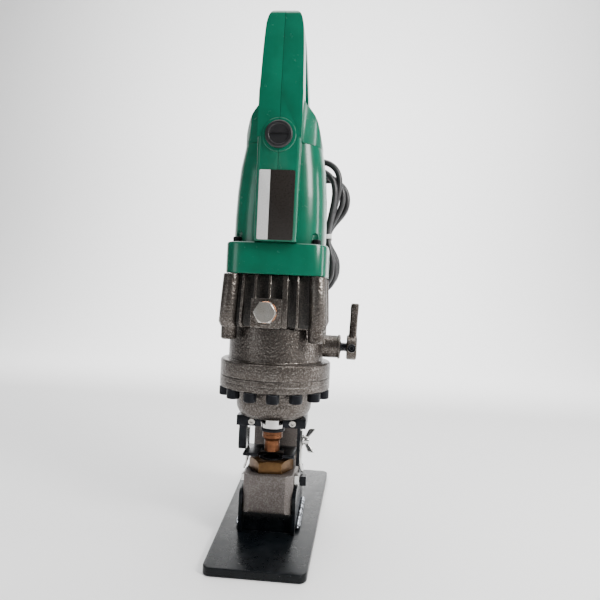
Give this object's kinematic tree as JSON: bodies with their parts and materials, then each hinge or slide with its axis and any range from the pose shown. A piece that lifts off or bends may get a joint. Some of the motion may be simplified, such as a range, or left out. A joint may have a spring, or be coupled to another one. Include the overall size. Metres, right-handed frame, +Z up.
{
  "type": "portable hydraulic hole punch",
  "caption": "Hand-carried electric hydraulic hole punch with a C-shaped jaw, round punch and die, and D-handle, on a flat steel base.",
  "frame": {"origin": "underside of the base plate, straight below the punch", "axes": "+Z up along the punch axis, -Y towards the open front of the jaw, +X to the operator's right"},
  "size_m": [0.1408, 0.29, 0.522],
  "materials": {
    "green_plastic": "glossy moulded plastic",
    "black_plastic": "satin moulded plastic",
    "black_paint": "glossy black paint on steel",
    "cast_steel": "hammer-tone metallic paint on cast steel",
    "grey_steel": "blasted steel",
    "black_oxide": "blackened steel",
    "chrome": "bright plated steel",
    "zinc": "zinc-plated steel",
    "bronze": "worn bronze",
    "copper_steel": "heat-tinted punch steel",
    "copper": "copper",
    "rubber": "black rubber",
    "red_rubber": "oil-proof rubber",
    "carbon": "pressed carbon",
    "label": "blank black and white plate",
    "tie": "white plastic tie"
  },
  "bodies": {
    "frame": {"base_plate": "black_paint", "stand_channel": "black_paint", "c_frame": "grey_steel", "flange_screws": "black_oxide", "jaw_side_block_left": "chrome", "jaw_side_block_right": "chrome", "jaw_side_bolt": "black_oxide", "die": "black_oxide", "die_nut": "bronze", "rod_seal": "rubber", "cylinder_body": "cast_steel", "pump_casing": "cast_steel", "plug_washer": "copper", "oil_plug": "zinc", "oil_bladder": "red_rubber", "stripper_yoke": "black_oxide", "yoke_screw_left": "zinc", "yoke_screw_right": "zinc", "motor_case": "green_plastic", "case_screws": "black_oxide", "motor_bearing_bottom": "chrome", "motor_bearing_top": "chrome", "stator": "grey_steel", "carbon_brush_front": "carbon", "carbon_brush_rear": "carbon", "handle_left": "green_plastic", "handle_right": "green_plastic", "handle_screw_upper": "zinc", "handle_screw_lower": "zinc", "rating_plate": "label", "brush_cap_front": "black_plastic", "trigger_switch": "black_plastic", "return_spring": "black_oxide", "strain_relief": "rubber", "cord_tube": "rubber", "cord_hank": "rubber", "hank_tie": "tie", "plug": "black_plastic"},
    "ram": {"ram": "chrome", "piston_seal": "rubber", "punch_nut": "black_oxide", "punch": "copper_steel"},
    "armature": {"armature_shaft": "zinc", "armature_core": "copper", "commutator": "copper", "motor_fan": "black_plastic"},
    "eccentric": {"eccentric_shaft": "zinc", "driven_gear": "black_oxide", "eccentric_bearing": "chrome"},
    "plunger_left": {"pump_plunger_left": "chrome"},
    "plunger_right": {"pump_plunger_right": "chrome"},
    "release": {"release_valve_stem": "black_oxide", "release_lever": "cast_steel", "lever_screw": "black_oxide"},
    "stripper": {"stripper_frame": "chrome"},
    "wing_screw": {"wing_screw": "chrome"},
    "trigger": {"trigger": "black_plastic", "trigger_spring": "zinc"},
    "lock_button": {"lock_button": "black_plastic"}
  },
  "joints": [
    {"name": "ram_slide", "type": "slide", "parent": "frame", "child": "ram", "axis": [0, 0, -1], "range_m": [0, 0.01], "stiffness_N_per_m": 2000, "springref_m": -0.02, "deforming": ["return_spring"]},
    {"name": "armature_spin", "type": "hinge", "parent": "frame", "child": "armature", "pos_m": [0, 0, 0.35], "axis": [0, 0, 1], "continuous": true},
    {"name": "eccentric_spin", "type": "hinge", "parent": "frame", "child": "eccentric", "pos_m": [0, 0.0204, 0.236], "axis": [0, 0, 1], "continuous": true},
    {"name": "plunger_left_slide", "type": "slide", "parent": "frame", "child": "plunger_left", "axis": [-1, 0, 0], "range_m": [0, 0.003]},
    {"name": "plunger_right_slide", "type": "slide", "parent": "frame", "child": "plunger_right", "axis": [1, 0, 0], "range_m": [0, 0.003]},
    {"name": "release_lever_turn", "type": "hinge", "parent": "frame", "child": "release", "pos_m": [0.076, 0, 0.199], "axis": [1, 0, 0], "range_deg": [0, 90]},
    {"name": "stripper_slide", "type": "slide", "parent": "frame", "child": "stripper", "axis": [0, 0, 1], "range_m": [0, 0.006]},
    {"name": "wing_screw_turn", "type": "hinge", "parent": "frame", "child": "wing_screw", "pos_m": [0.033, 0.01, 0.097], "axis": [1, 0, 0], "range_deg": [0, 360]},
    {"name": "trigger_pull", "type": "slide", "parent": "frame", "child": "trigger", "axis": [0, -1, 0], "range_m": [0, 0.0045], "stiffness_N_per_m": 600, "springref_m": -0.003},
    {"name": "lock_button_press", "type": "slide", "parent": "frame", "child": "lock_button", "axis": [1, 0, 0], "range_m": [0, 0.003], "stiffness_N_per_m": 300, "springref_m": -0.002}
  ],
  "couplings": [
    {"joint": "eccentric_spin", "follows": "armature_spin", "ratio": -0.33333}
  ]
}
